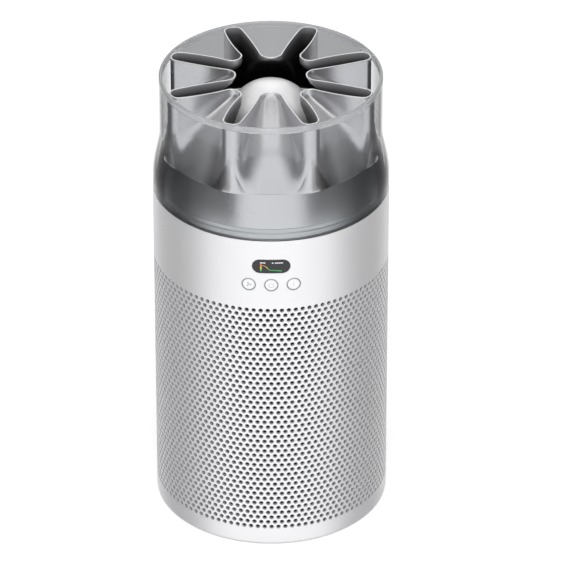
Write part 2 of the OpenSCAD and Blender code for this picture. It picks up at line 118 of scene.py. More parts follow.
def revolve(name, outline, material, steps=288, sharp=32):
    """Solid of revolution about Z from a closed outline of (radius, z)."""
    n = len(outline)
    points = [(r * math.sin(2 * math.pi * k / steps), -r * math.cos(2 * math.pi * k / steps), z)
              for k in range(steps) for r, z in outline]
    faces = [(k * n + i, (k + 1) % steps * n + i, (k + 1) % steps * n + (i + 1) % n, k * n + (i + 1) % n)
             for k in range(steps) for i in range(n)
             if max(outline[i][0], outline[(i + 1) % n][0]) > 1e-6]
    return make(name, points, faces, material, sharp, weld=1e-4)


def on_cylinder(x, z, r, back=False):
    """Point on the cylinder of radius r, x across, at the front or the back."""
    y = math.sqrt(r * r - x * x)
    return (-x, y, z) if back else (x, -y, z)


def lofted(name, outline, profile, material, closed=False, back=False, sharp=32):
    """Stack of outlines on the cylinder. outline(inset) gives (x, z); profile lists (inset, radius)."""
    rings = [[on_cylinder(x, z, r, back) for x, z in outline(inset)] for inset, r in profile]
    n, m = len(rings[0]), len(rings)
    faces = [(j * n + i, j * n + (i + 1) % n, (j + 1) % m * n + (i + 1) % n, (j + 1) % m * n + i)
             for j in range(m if closed else m - 1) for i in range(n)]
    if not closed:
        faces.append(tuple(range(n)))
    return make(name, [p for ring in rings for p in ring], faces, material, sharp, weld=1e-4)


def circle_outline(x0, z0, r, count=64):
    return lambda inset: [(x0 + (r - inset) * math.cos(2 * math.pi * k / count),
                           z0 + (r - inset) * math.sin(2 * math.pi * k / count)) for k in range(count)]


def pill_outline(z0, w, h, count=20, x0=0.0):
    def at(inset):
        half, r = (w - h) / 2, h / 2 - inset
        ends = [(s * half + r * math.cos(a), r * math.sin(a)) for s, a in
                [(1, -math.pi / 2 + math.pi * k / count) for k in range(count)]
                + [(-1, math.pi / 2 + math.pi * k / count) for k in range(count)]]
        top = [(half - 2 * half * k / count, r) for k in range(count)]
        low = [(-half + 2 * half * k / count, -r) for k in range(count)]
        return [(x0 + x, z0 + z) for x, z in ends[:count] + top + ends[count:] + low]
    return at


def wrap(name, faces, material, r_out=BODY_R, r_in=BODY_R - SHELL_T, sharp=32, inner=None):
    """Shell of two skins from flat faces of (angle, z) points, with walls along every open edge.
    inner holds the materials of those walls and of the inner skin."""
    index, flat, skin, edges = {}, [], [], {}
    for face in faces:
        ids = []
        for a, z in face:
            key = (round((a % (2 * math.pi)) * 1e5) % 628319, round(z * 1e3))
            if key not in index:
                index[key] = len(flat)
                flat.append((a, z))
            ids.append(index[key])
        skin.append(ids)
        for k in range(len(ids)):
            edges[(ids[k - 1], ids[k])] = True
    n = len(flat)
    points = [(r * math.sin(a), -r * math.cos(a), z) for r in (r_out, r_in) for a, z in flat]
    solid = skin + [[i + n for i in reversed(f)] for f in skin]
    walls = [[a, a + n, b + n, b] for a, b in edges if (b, a) not in edges]
    obj = make(name, points, solid + walls, material, sharp)
    if inner:
        for extra in inner:
            obj.data.materials.append(extra)
        kinds = [0] * len(skin) + [2] * len(skin) + [1] * len(walls)
        obj.data.polygons.foreach_set("material_index", kinds)
    return obj


def flat_plate(name, outlines, r, material, thick=0.25, proud=0.0):
    """Thin curved inlay from flat (x, z) outlines, laid on the cylinder of radius r."""
    faces = []
    for outline in outlines:
        pts = []
        for k, p in enumerate(outline):
            q = outline[(k + 1) % len(outline)]
            cuts = max(1, round(math.dist(p, q) / 0.9))
            pts += [(p[0] + (q[0] - p[0]) * i / cuts, p[1] + (q[1] - p[1]) * i / cuts) for i in range(cuts)]
        edges = [(i, (i + 1) % len(pts)) for i in range(len(pts))]
        xs, zs = [p[0] for p in pts], [p[1] for p in pts]
        inner = [Vector((x, z)) for x in np.arange(min(xs) + 0.45, max(xs), 0.9)
                 for z in np.arange(min(zs) + 0.45, max(zs), 0.9)
                 if inside(x, z, pts) and min(math.dist((x, z), p) for p in pts) > 0.3]
        loop = [list(range(len(pts)))]
        verts, _, tris, *_ = delaunay_2d_cdt([Vector(p) for p in pts] + inner, edges, loop, 0, 1e-5, False)
        area = 0.0
        kept = []
        for t in tris:
            a, b, c = (verts[i] for i in t)
            if inside((a.x + b.x + c.x) / 3, (a.y + b.y + c.y) / 3, pts):
                kept.append([(math.asin(v.x / r), v.y) for v in (a, b, c)])
                area += a.x * (b.y - c.y) + b.x * (c.y - a.y) + c.x * (a.y - b.y)
        faces += [f if area > 0 else f[::-1] for f in kept]
    return wrap(name, faces, material, r + proud, r + proud - thick)


def inside(x, z, outline):
    hit = False
    for k, (x1, z1) in enumerate(outline):
        x0, z0 = outline[k - 1]
        if (z1 > z) != (z0 > z) and x < (x0 - x1) * (z - z1) / (z0 - z1) + x1:
            hit = not hit
    return hit


# ---- materials ----

class Nodes:
    """A material's node tree, with short calls for the nodes that are used again and again."""

    def __init__(self, name):
        self.mat = bpy.data.materials.new(name)
        self.mat.use_nodes = True
        self.tree = self.mat.node_tree
        self.shader = next(n for n in self.tree.nodes if n.type == "BSDF_PRINCIPLED")
        self.coords = self.add("ShaderNodeTexCoord").outputs["Object"]

    def add(self, kind, **values):
        node = self.tree.nodes.new(kind)
        for key, value in values.items():
            setattr(node, key, value)
        return node

    def link(self, a, b):
        self.tree.links.new(a, b)

    def noise(self, scale, detail=3.0, stretch=(1, 1, 1), rough=0.55):
        mapping = self.add("ShaderNodeMapping")
        mapping.inputs["Scale"].default_value = stretch
        self.link(self.coords, mapping.inputs["Vector"])
        node = self.add("ShaderNodeTexNoise")
        node.inputs["Scale"].default_value = scale
        node.inputs["Detail"].default_value = detail
        node.inputs["Roughness"].default_value = rough
        self.link(mapping.outputs[0], node.inputs["Vector"])
        return node.outputs["Fac"]

    def bands(self, scale, axis="Z", distortion=0.0):
        node = self.add("ShaderNodeTexWave", wave_type="BANDS", bands_direction=axis)
        node.inputs["Scale"].default_value = scale
        node.inputs["Distortion"].default_value = distortion
        self.link(self.coords, node.inputs["Vector"])
        return node.outputs["Fac"]

    def math(self, kind, a, b):
        node = self.add("ShaderNodeMath", operation=kind)
        for socket, value in zip(node.inputs, (a, b)):
            if isinstance(value, (int, float)):
                socket.default_value = value
            else:
                self.link(value, socket)
        return node.outputs[0]

    def spread(self, fac, low, high, socket):
        node = self.add("ShaderNodeMapRange")
        node.inputs["From Min"].default_value = 0.3
        node.inputs["From Max"].default_value = 0.7
        node.inputs["To Min"].default_value = low
        node.inputs["To Max"].default_value = high
        self.link(fac, node.inputs["Value"])
        self.link(node.outputs[0], socket)

    def colours(self, fac, *stops):
        ramp = self.add("ShaderNodeValToRGB")
        while len(ramp.color_ramp.elements) < len(stops):
            ramp.color_ramp.elements.new(0.5)
        for element, (place, colour) in zip(ramp.color_ramp.elements, stops):
            element.position = place
            element.color = (*colour, 1)
        self.link(fac, ramp.inputs[0])
        self.link(ramp.outputs[0], self.shader.inputs["Base Color"])

    def bump(self, height, strength, distance):
        node = self.add("ShaderNodeBump")
        node.inputs["Strength"].default_value = strength
        node.inputs["Distance"].default_value = distance
        self.link(height, node.inputs["Height"])
        last = self.shader.inputs["Normal"].links
        if last:
            self.link(last[0].from_socket, node.inputs["Normal"])
        self.link(node.outputs[0], self.shader.inputs["Normal"])

    def set(self, **values):
        for key, value in values.items():
            self.shader.inputs[key.replace("_", " ")].default_value = value


def tone(colour, k):
    return tuple(min(1.0, c * k) for c in colour)


def surface(name, colour, rough, metal=0.0, grain=0.15, grain_scale=1400.0, grain_depth=0.00004,
            vary=0.05, tint=0.05, stretch=(1, 1, 1), **extra):
    """Painted, moulded or machined surface: fine grain, patches of gloss and a slight drift in colour."""
    m = Nodes(name)
    m.set(Metallic=metal, **extra)
    cloud = m.noise(18.0, 4.0)
    m.spread(cloud, max(0.02, rough - vary), rough + vary, m.shader.inputs["Roughness"])
    m.colours(m.noise(9.0, 5.0), (0.3, tone(colour, 1 - tint)), (0.7, colour))
    m.bump(m.noise(grain_scale, 2.0, stretch), grain, grain_depth)
    return m


def weave(name, colour, pitch_mm, rough=0.9, depth=0.0003):
    """Woven or felted cloth: two crossed sets of threads over loose fibres."""
    m = Nodes(name)
    m.set(Sheen_Weight=0.25)
    k = 1000.0 / pitch_mm / 6.2832 * 2
    upright = m.math("MULTIPLY", m.bands(k, "X", 0.4), m.bands(k, "Y", 0.4))
    threads = m.math("MAXIMUM", m.bands(k, "Z", 0.4), upright)
    fibres = m.noise(2600.0, 4.0)
    m.colours(m.math("MULTIPLY", threads, fibres), (0.1, tone(colour, 0.55)), (0.5, colour))
    m.spread(fibres, rough - 0.06, min(1.0, rough + 0.05), m.shader.inputs["Roughness"])
    m.bump(threads, 0.6, depth)
    m.bump(fibres, 0.3, depth / 3)
    return m


MAT = {
    "white_shell": surface("white_shell", (0.87, 0.87, 0.885), 0.33, metal=0.55, grain=0.10, tint=0.02,
                           vary=0.03),
    "silver_plastic": surface("silver_plastic", (0.80, 0.80, 0.82), 0.29, metal=0.95, grain=0.05, tint=0.03,
                              vary=0.03),
    "dome_silver": surface("dome_silver", (0.94, 0.94, 0.95), 0.38, metal=0.45, grain=0.12, tint=0.03),
    "dark_duct": surface("dark_duct", (0.012, 0.012, 0.014), 0.55, grain=0.4),
    "grey_plastic": surface("grey_plastic", (0.20, 0.21, 0.23), 0.5, grain=0.5, grain_scale=900),
    "light_plastic": surface("light_plastic", (0.60, 0.61, 0.63), 0.45, grain=0.45, grain_scale=900),
    "collar_base": surface("collar_base", (0.70, 0.72, 0.735), 0.30, metal=0.9, grain=0.10),
    "display_glass": surface("display_glass", (0.006, 0.006, 0.008), 0.07, grain=0.01, vary=0.02,
                             Coat_Weight=0.6),
    "button_cap": surface("button_cap", (0.84, 0.84, 0.86), 0.34, metal=0.35, grain=0.12, tint=0.02),
    "bezel_grey": surface("bezel_grey", (0.36, 0.36, 0.38), 0.30, metal=0.6, grain=0.06),
    "black_plastic": surface("black_plastic", (0.025, 0.025, 0.028), 0.5, grain=0.5, grain_scale=900),
    "rubber": surface("rubber", (0.03, 0.03, 0.032), 0.75, grain=0.5, grain_scale=1100),
    "steel": surface("steel", (0.62, 0.63, 0.65), 0.28, metal=1.0, stretch=(1, 1, 14)),
    "brass": surface("brass", (0.78, 0.60, 0.28), 0.28, metal=1.0, stretch=(1, 1, 14)),
    "magnet": surface("magnet", (0.10, 0.10, 0.11), 0.6, metal=0.4, grain=0.6, grain_scale=700),
    "laminations": surface("laminations", (0.35, 0.36, 0.38), 0.42, metal=0.9),
    "copper_wire": surface("copper_wire", (0.62, 0.26, 0.10), 0.3, metal=0.9),
    "aluminium": surface("aluminium", (0.72, 0.73, 0.75), 0.42, metal=1.0, grain=0.5, grain_scale=1600),
    "circuit_board": surface("circuit_board", (0.015, 0.14, 0.05), 0.35, grain=0.2),
    "filter_paper": weave("filter_paper", (0.86, 0.85, 0.80), 0.5),
    "filter_net": weave("filter_net", (0.012, 0.012, 0.014), 0.8),
    "carbon_felt": weave("carbon_felt", (0.03, 0.03, 0.03), 1.4),
    "foam": surface("foam", (0.07, 0.07, 0.075), 0.9, grain=0.9, grain_scale=700, grain_depth=0.0004),
    "nylon": surface("nylon", (0.85, 0.84, 0.78), 0.4, grain=0.2),
}
MAT["laminations"].bump(MAT["laminations"].bands(320.0), 0.7, 0.0002)
MAT["copper_wire"].bump(MAT["copper_wire"].bands(400.0), 0.9, 0.0003)
for key in ("bezel_grey", "silver_plastic"):
    MAT[key].set(IOR=1.6)

clear = Nodes("clear_plastic")
clear.set(Base_Color=(0.93, 0.94, 0.95, 1), Transmission_Weight=1.0, IOR=1.42)
clear.spread(clear.noise(30.0, 3.0), 0.015, 0.035, clear.shader.inputs["Roughness"])
clear.bump(clear.noise(45.0, 2.0), 0.03, 0.0004)
MAT["clear_plastic"] = clear
# painted light: the collar's lip is light grey and only partly clear, standing in for the bright ring the
# clear rim shows as it carries light
LIP = surface("clear_lip", (0.80, 0.81, 0.83), 0.16, grain=0.04, tint=0.02)
LIP.set(Transmission_Weight=0.7, IOR=1.42)


def glow(name, colour, strength):
    """Printed or lit mark under the display glass."""
    m = surface(name, colour, 0.35, grain=0.05, tint=0.06)
    m.set(Emission_Color=(*colour, 1), Emission_Strength=strength)
    return m


GLOW = {
    "white": glow("mark_white", (0.62, 0.64, 0.66), 0.3),
    "red": glow("mark_red", (0.62, 0.16, 0.04), 0.3),
    "orange": glow("mark_orange", (0.62, 0.27, 0.05), 0.3),
    "yellow": glow("mark_yellow", (0.58, 0.52, 0.07), 0.3),
    "green": glow("mark_green", (0.04, 0.40, 0.08), 0.35),
}
ICON = surface("icon_grey", (0.40, 0.40, 0.42), 0.4, grain=0.1)
HOLE_EDGE = surface("shroud_hole_edge", (0.46, 0.46, 0.475), 0.5, grain=0.2)
# painted shade: the shroud's inner skin is coloured near black so the inside seen through the holes looks
# dark
SHELL_INSIDE = surface("shroud_inside", (0.008, 0.008, 0.009), 0.7, grain=0.3)
# painted highlight: the nozzle's top bead is coloured lighter than the rest of the nozzle, standing in for
# the bright highlight along its edge
RIM_EDGE = surface("nozzle_rim_edge", (0.93, 0.93, 0.94), 0.25, metal=0.8, grain=0.03, tint=0.02)

# painted shade: the nozzle's inner skin is coloured light at its top edge and black further down, standing in
# for the shade deep inside the pockets
LINER = surface("nozzle_liner", (0.5, 0.5, 0.52), 0.36, metal=0.5, grain=0.1)
liner_shade_ramp = LINER.add("ShaderNodeMapRange")
liner_shade_ramp.inputs["From Min"].default_value = 0.41
liner_shade_ramp.inputs["From Max"].default_value = 0.467
liner_axes = LINER.add("ShaderNodeSeparateXYZ")
LINER.link(LINER.coords, liner_axes.inputs[0])
LINER.link(liner_axes.outputs["Z"], liner_shade_ramp.inputs["Value"])
LINER.colours(liner_shade_ramp.outputs[0], (0.3, (0.008, 0.008, 0.01)), (0.65, (0.03, 0.03, 0.033)),
              (0.86, (0.11, 0.11, 0.115)), (1.0, (0.42, 0.42, 0.44)))

slots = {part["node"]: part["material_slot"] for part in frame["record"]["subparts"]}
for node, obj in frame["nodes"].items():
    obj.data.materials.clear()
    obj.data.materials.append(MAT[slots[node]].mat)


def finish_piece(obj, body, slot, *replaced):
    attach(obj, body)
    if replaced:
        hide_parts(*replaced)
    return obj


# ---- shroud: four bands of holes, a plain lower ring, the control band and its rim ----

def column(q):
    return 2 * math.pi * q / QUARTERS


def hole_rows(first, last):
    faces = []
    for row in range(first, last):
        z0 = HOLES_LOW + row * ROW_PITCH
        z1, zc = z0 + ROW_PITCH, z0 + ROW_PITCH / 2
        shift = 2 if (ROWS - 1 - row) % 2 == 0 else 0
        for hole in range(HOLES):
            q = 4 * hole + shift
            edge = [(q + i, z0) for i in (-2, -1, 0, 1)]
            edge += [(q + 2, z0 + ROW_PITCH * k / 4) for k in range(4)]
            edge += [(q + i, z1) for i in (2, 1, 0, -1)]
            edge += [(q - 2, z1 - ROW_PITCH * k / 4) for k in range(4)]
            edge = [(column(e), z) for e, z in edge]
            centre = column(q)
            ring = []
            for k in range(16):
                a = math.radians(-135 + 22.5 * k)
                ring.append((centre + HOLE_R * math.cos(a) / BODY_R, zc + HOLE_R * math.sin(a)))
            faces += [(edge[k], edge[(k + 1) % 16], ring[(k + 1) % 16], ring[k]) for k in range(16)]
    return faces


SPLITS = (0, 12, 23, 35, 46)
for n, (low, high) in enumerate(zip(SPLITS, SPLITS[1:])):
    finish_piece(wrap(f"shroud_holes_{n + 1}", hole_rows(low, high), MAT["white_shell"].mat,
                      inner=(HOLE_EDGE.mat, SHELL_INSIDE.mat)), "root", "white_shell", "outer_shroud")

foot_band = rounded([
    (BODY_R - SHELL_T, FLOOR_GAP, 0.4), (BODY_R, FLOOR_GAP, 1.2), (BODY_R, 10.0, 0), (BODY_R, HOLES_LOW, 0),
    (BODY_R - SHELL_T, HOLES_LOW, 0)])
finish_piece(revolve("shroud_foot_band", foot_band, MAT["white_shell"].mat, QUARTERS), "root", "white_shell",
             "outer_shroud")

RIM_LOW = SHROUD_TOP - 2.5
rim = rounded([
    (BODY_R - SHELL_T, RIM_LOW, 0), (BODY_R, RIM_LOW, 0), (BODY_R, SHROUD_TOP, 0.5),
    (BODY_R - SHELL_T, SHROUD_TOP, 0.3)])
finish_piece(revolve("shroud_rim", rim, MAT["white_shell"].mat, QUARTERS), "root", "white_shell",
             "outer_shroud")


def band_patch(q0, q1, levels, openings):
    """Triangles over a sector of the control band. openings are (x, z) outlines about its middle."""
    mid = (q0 + q1) / 2
    holes = [[(BODY_R * math.asin(x / BODY_R), z) for x, z in outline] for outline in openings]
    arc = 2 * math.pi * BODY_R / QUARTERS
    points = [((q - mid) * arc, z) for q in range(q0, q1 + 1) for z in levels]
    points = [p for p in points if not any(
        inside(*p, h) or min(math.dist(p, e) for e in h) < 0.55 for h in holes)]
    edges = []
    for h in holes:
        start = len(points)
        points += h
        edges += [(start + k, start + (k + 1) % len(h)) for k in range(len(h))]
    verts, _, tris, *_ = delaunay_2d_cdt([Vector(p) for p in points], edges, [], 0, 1e-5, False)
    out = []
    for t in tris:
        a, b, c = (verts[i] for i in t)
        x, z = (a.x + b.x + c.x) / 3, (a.y + b.y + c.y) / 3
        if any(inside(x, z, h) for h in holes):
            continue
        tri = [(column(mid) + v.x / BODY_R, v.y) for v in (a, b, c)]
        cross = (b.x - a.x) * (c.y - a.y) - (b.y - a.y) * (c.x - a.x)
        out.append(tri if cross > 0 else tri[::-1])
    return out


LEVELS = [HOLES_HIGH + (RIM_LOW - HOLES_HIGH) * k / 16 for k in range(17)]
front = band_patch(-32, 32, LEVELS, [pill_outline(DISPLAY_Z, DISPLAY_W, DISPLAY_H)(-0.1)] + [
    circle_outline(i * BUTTON_PITCH, BUTTON_Z, BEZEL_R)(-0.04) for i in (-1, 0, 1)])
rear = band_patch(212 - 20, 212 + 20, LEVELS, [pill_outline(INLET_Z, 24.0, 15.0)(-0.05)])
plain = [[(column(q), z0), (column(q + 1), z0), (column(q + 1), z1), (column(q), z1)]
         for q in list(range(32, 192)) + list(range(232, 392)) for z0, z1 in zip(LEVELS, LEVELS[1:])]
control_band = wrap("shroud_control_band", front + rear + plain, MAT["white_shell"].mat)
finish_piece(control_band, "root", "white_shell", "outer_shroud")

# ---- foot ring ----
FOOT_IN, FOOT_OUT, FOOT_H = 106.5, 111.5, 3.0
foot = rounded([(FOOT_IN, 0, 0.8), (FOOT_OUT, 0, 0.8), (FOOT_OUT, FOOT_H, 0.2), (FOOT_IN, FOOT_H, 0.2)])
finish_piece(revolve("foot_ring_pad", foot, MAT["rubber"].mat), "root", "rubber", "foot_ring")

# ---- display and buttons ----
R = BODY_R
glass = lofted("display_glass", pill_outline(DISPLAY_Z, DISPLAY_W, DISPLAY_H), [
    (7.6, R - 2.0), (0.0, R - 2.0), (0.0, R - 0.75), (0.12, R - 0.5), (0.5, R - 0.35), (1.2, R - 0.25),
    (2.2, R - 0.15), (3.4, R - 0.07), (5.0, R - 0.02), (7.0, R), (7.6, R)], MAT["display_glass"].mat)
finish_piece(glass, "root", "display_glass", "display_window")


def bar(x0, z0, x1, z1, width):
    """Straight stroke with square ends."""
    d = Vector((x1 - x0, z1 - z0)).normalized() * width / 2
    return [(x0 - d.x + d.y, z0 - d.y - d.x), (x1 + d.x + d.y, z1 + d.y - d.x),
            (x1 + d.x - d.y, z1 + d.y + d.x), (x0 - d.x - d.y, z0 - d.y + d.x)]


def dash(x0, x1, z, height=1.0):
    return bar(x0 + height / 2, z, x1 - height / 2, z, height)


DZ = DISPLAY_Z
MARKS = {
    "white": [dash(x0, x1, DZ + 3.9) for x0, x1 in (
        (-10.6, -8.3), (-7.9, -5.6), (0.6, 2.2), (3.5, 5.2), (5.5, 7.2), (7.5, 9.2), (9.5, 11.3))],
    "red": [bar(-9.9, DZ + 1.4, -9.9, DZ + 1.8, 1.3)],
    "orange": [bar(-9.9, DZ - 0.5, -9.9, DZ + 0.3, 1.3), bar(-8.3, DZ + 1.0, -5.4, DZ + 0.2, 0.6)],
    "yellow": [bar(-9.9, DZ - 2.3, -9.9, DZ - 1.6, 1.3), bar(-4.8, DZ - 0.4, -3.6, DZ - 1.9, 0.6)],
    "green": [bar(-9.9, DZ - 4.6, -9.9, DZ - 3.4, 1.3), bar(-3.1, DZ - 2.4, -1.8, DZ - 3.8, 0.6),
              bar(-1.1, DZ - 4.0, 3.6, DZ - 4.3, 0.6), bar(4.3, DZ - 4.5, 9.9, DZ - 5.0, 0.7)],
}
for key, strokes in MARKS.items():
    marks = flat_plate(f"display_marks_{key}", strokes, R, GLOW[key].mat, proud=0.05)
    finish_piece(marks, "root", "display_glass")


def arc_stroke(x0, z0, r, width, start, end, steps=28):
    turns = [math.radians(start + (end - start) * k / steps) for k in range(steps + 1)]
    far, close = r + width / 2, r - width / 2
    return ([(x0 + far * math.cos(a), z0 + far * math.sin(a)) for a in turns]
            + [(x0 + close * math.cos(a), z0 + close * math.sin(a)) for a in reversed(turns)])


def fan_blade(x0, z0, turn):
    shape = [(0.35, -0.25), (1.2, -0.75), (2.2, -0.95), (2.75, -0.4), (2.7, 0.35), (2.1, 0.8), (1.1, 0.65),
             (0.35, 0.25)]
    a = math.radians(turn)
    c, s = math.cos(a), math.sin(a)
    return [(x0 + x * c - z * s, z0 + x * s + z * c) for x, z in shape]


ICONS = {
    "fan_button": lambda x: [fan_blade(x, BUTTON_Z, t) for t in (0, 120, 240)],
    "power_button": lambda x: [arc_stroke(x, BUTTON_Z - 0.2, 2.4, 0.5, -235, 55),
                               bar(x, BUTTON_Z + 0.6, x, BUTTON_Z + 2.5, 0.4)],
    "info_button": lambda x: [bar(x, BUTTON_Z - 1.9, x, BUTTON_Z + 0.5, 0.5),
                              circle_outline(x, BUTTON_Z + 1.8, 0.38, 16)(0)],
}
BEZEL_IN = BUTTON_R + 0.08
STEM_R, STEM_END = 2.0, 104.9
for i, (node, icon) in enumerate(ICONS.items()):
    x = (i - 1) * BUTTON_PITCH
    cap = lofted(f"{node}_cap", circle_outline(x, BUTTON_Z, BUTTON_R), [
        (BUTTON_R, R - 6.0), (-0.8, R - 6.0), (-0.8, R - 5.2), (0.0, R - 5.2), (0.0, R - 0.5),
        (0.08, R - 0.25), (0.3, R - 0.05), (0.6, R), (1.2, R), (2.4, R), (3.6, R), (4.8, R), (BUTTON_R, R)],
        MAT["button_cap"].mat)
    finish_piece(cap, node, "button_cap", node)
    end_r = math.hypot(STEM_END, abs(x) + STEM_R)
    stem = lofted(f"{node}_stem", circle_outline(x, BUTTON_Z, STEM_R, 32), [
        (STEM_R, end_r), (0.25, end_r), (0.0, end_r + 0.3), (0.0, R - 5.6), (STEM_R, R - 5.6)],
        MAT["button_cap"].mat)
    finish_piece(stem, node, "button_cap", node)
    finish_piece(flat_plate(f"{node}_icon", icon(x), R, ICON.mat, proud=0.04), node, "button_cap")
    ring = lofted(f"{node}_bezel", circle_outline(x, BUTTON_Z, BEZEL_R, 72), [
        (0.0, R - 2.4), (0.0, R - 0.1), (0.12, R + 0.06), (0.3, R + 0.12), (0.75, R + 0.12), (0.92, R + 0.05),
        (BEZEL_R - BEZEL_IN, R - 0.12), (BEZEL_R - BEZEL_IN, R - 2.4)], MAT["bezel_grey"].mat, closed=True)
    finish_piece(ring, "root", "bezel_grey", "button_bezels")

# ---- clear collar ----

def ease(t):
    t = min(1.0, max(0.0, t))
    return t * t * (3 - 2 * t)


def collar_r(z):
    return BODY_R - (BODY_R - COLLAR_RIM) * ease((z - 360.0) / 52.0)


heights = [360 + 52 * k / 26 for k in range(27)]
collar = [(collar_r(z), z) for z in heights] + [
    (COLLAR_RIM, LIP_LOW - 0.04), (COLLAR_RIM - COLLAR_T, LIP_LOW - 0.04)]
collar += [(collar_r(z) - COLLAR_T, z) for z in reversed(heights)]
collar += rounded([
    (BODY_R - COLLAR_T, 355, 0), (BODY_R - COLLAR_T, SHROUD_TOP, 0.3), (BODY_R, SHROUD_TOP, 0.5),
    (BODY_R, 355, 0)])[1:-1]
finish_piece(revolve("clear_collar_shell", collar, clear.mat, 360), "root", "clear_plastic", "clear_collar")
lip = rounded([
    (COLLAR_RIM - COLLAR_T, LIP_LOW, 0.2), (COLLAR_RIM, LIP_LOW, 0.2), (COLLAR_RIM, COLLAR_TOP, 1.4),
    (COLLAR_RIM - COLLAR_T, COLLAR_TOP, 1.0)], 12)
finish_piece(revolve("clear_collar_lip", lip, LIP.mat, 360), "root", "clear_plastic", "clear_collar")

# ---- star nozzle ----

def eighth_corners():
    """Corners of the star outline over one eighth, from the pocket on +X to the pocket on the diagonal."""
    a, b = math.radians(ANGLE_A), math.radians(ANGLE_B)
    slot = (a + math.pi / 4 - b) / 2
    reach = np.array((math.cos(slot), math.sin(slot)))
    pa = np.array((TIP_A + ROUND_A - ROUND_A / math.sin(a), 0.0))
    diagonal = np.array((math.cos(math.pi / 4), math.sin(math.pi / 4)))
    pb = (TIP_B + ROUND_B - ROUND_B / math.sin(b)) * diagonal
    out = [(pa, ROUND_A)]
    for p, angle in ((pa, a), (pb, math.pi / 4 - b)):
        u = np.array((math.cos(angle), math.sin(angle)))
        out.append((p + u * (SLOT_REACH - p @ reach) / (u @ reach), ROUND_SLOT))
    return out + [(pb, ROUND_B)]


def star_outline():
    """The whole rounded outline, from repeats of one eighth and its mirror image."""
    corners = []
    e = eighth_corners()
    for k in range(4):
        c, s = round(math.cos(k * math.pi / 2)), round(math.sin(k * math.pi / 2))
        for p, r in e + [(q[::-1], r) for q, r in e[2:0:-1]]:
            corners.append((p[0] * c - p[1] * s, p[0] * s + p[1] * c, r))
    return rounded(corners, 5.0)


def even(points, step):
    """Points of a closed outline with long sides cut into steps."""
    out = []
    for k, p in enumerate(points):
        q = points[(k + 1) % len(points)]
        cuts = max(1, round(math.dist(p, q) / step))
        out += [(p[0] + (q[0] - p[0]) * i / cuts, p[1] + (q[1] - p[1]) * i / cuts) for i in range(cuts)]
    return out


def distance(px, py, line):
    """Distance of many points from a chain of straight pieces."""
    best = np.full(px.shape, 1e9)
    for (ax, ay), (bx, by) in zip(line, line[1:]):
        dx, dy = bx - ax, by - ay
        t = np.clip(((px - ax) * dx + (py - ay) * dy) / (dx * dx + dy * dy), 0, 1)
        best = np.minimum(best, np.hypot(px - ax - t * dx, py - ay - t * dy))
    return best


OUTLINE = star_outline()
near = [p for p in OUTLINE if -0.45 < math.atan2(p[1], p[0]) < math.pi / 4 + 0.45]
near.sort(key=lambda p: math.atan2(p[1], p[0]))
angles = sorted({round(math.atan2(p[1], p[0]), 6) for p in even(OUTLINE, 1.5)
                 if -1e-7 <= math.atan2(p[1], p[0]) <= math.pi / 4 + 1e-7} | {0.0, round(math.pi / 4, 6)})
star_angle = np.array([math.atan2(p[1], p[0]) for p in near])
star_radius = np.array([math.hypot(*p) for p in near])


def floor_line():
    low, high = np.array(FLOOR_LOW), np.array(FLOOR_HIGH)
    chord = high - low
    out = np.array((chord[1], -chord[0])) / np.linalg.norm(chord)
    return [tuple(low + chord * u + out * FLOOR_BULGE * 4 * u * (1 - u)) for u in np.linspace(0, 1, 25)]


FLOOR_LINE = floor_line()
floor_z = np.array([p[1] for p in FLOOR_LINE])
floor_r = np.array([p[0] for p in FLOOR_LINE])


def field(angle, z, r):
    """Signed distance from the nozzle's outside, with the pockets' walls blended into their floors."""
    x, y = r * np.cos(angle), r * np.sin(angle)
    wall = distance(x, y, near) * np.where(r < np.interp(angle, star_angle, star_radius), -1, 1)
    floor = distance(r, z, FLOOR_LINE) * np.where(r < np.interp(z, floor_z, floor_r, right=0.0), -1, 1)
    soft = 2.5 + 19.5 * np.clip((464.0 - z) / 38.0, 0, 1)
    h = np.clip(soft - np.abs(wall - floor), 0, None) / soft
    return np.minimum(wall, floor) - h * h * soft / 4


OUTER_RINGS, RIM_SQUARE = 52, 0.55


def nozzle_rings():
    """Rings up the outside, over the rim and down the inside.

    Each is (depth inside the outer surface, z, z of the outer point it is measured from).
    """
    bead = NOZZLE_T / 2
    top = NOZZLE_TOP - bead
    outer = [NOZZLE_BASE + (top - NOZZLE_BASE) * k / OUTER_RINGS for k in range(OUTER_RINGS + 1)]
    inner = [top - (top - NOZZLE_BASE) * k / 16 for k in range(1, 17)]
    over = []
    for t in np.linspace(0, math.pi, 9)[1:-1]:
        across = math.copysign(abs(math.cos(t)) ** RIM_SQUARE, math.cos(t))
        over.append((bead - bead * across, top + bead * math.sin(t) ** RIM_SQUARE, top))
    return ([(0.0, z, z) for z in outer] + over + [(NOZZLE_T, top, top)] + [(NOZZLE_T, z, z) for z in inner])


def outward(x, y, z, step=0.02):
    """Slope of the field along X and Y."""
    def at(u, v):
        return field(np.arctan2(v, u), z, np.hypot(u, v))
    return (at(x + step, y) - at(x - step, y)) / step / 2, (at(x, y + step) - at(x, y - step)) / step / 2


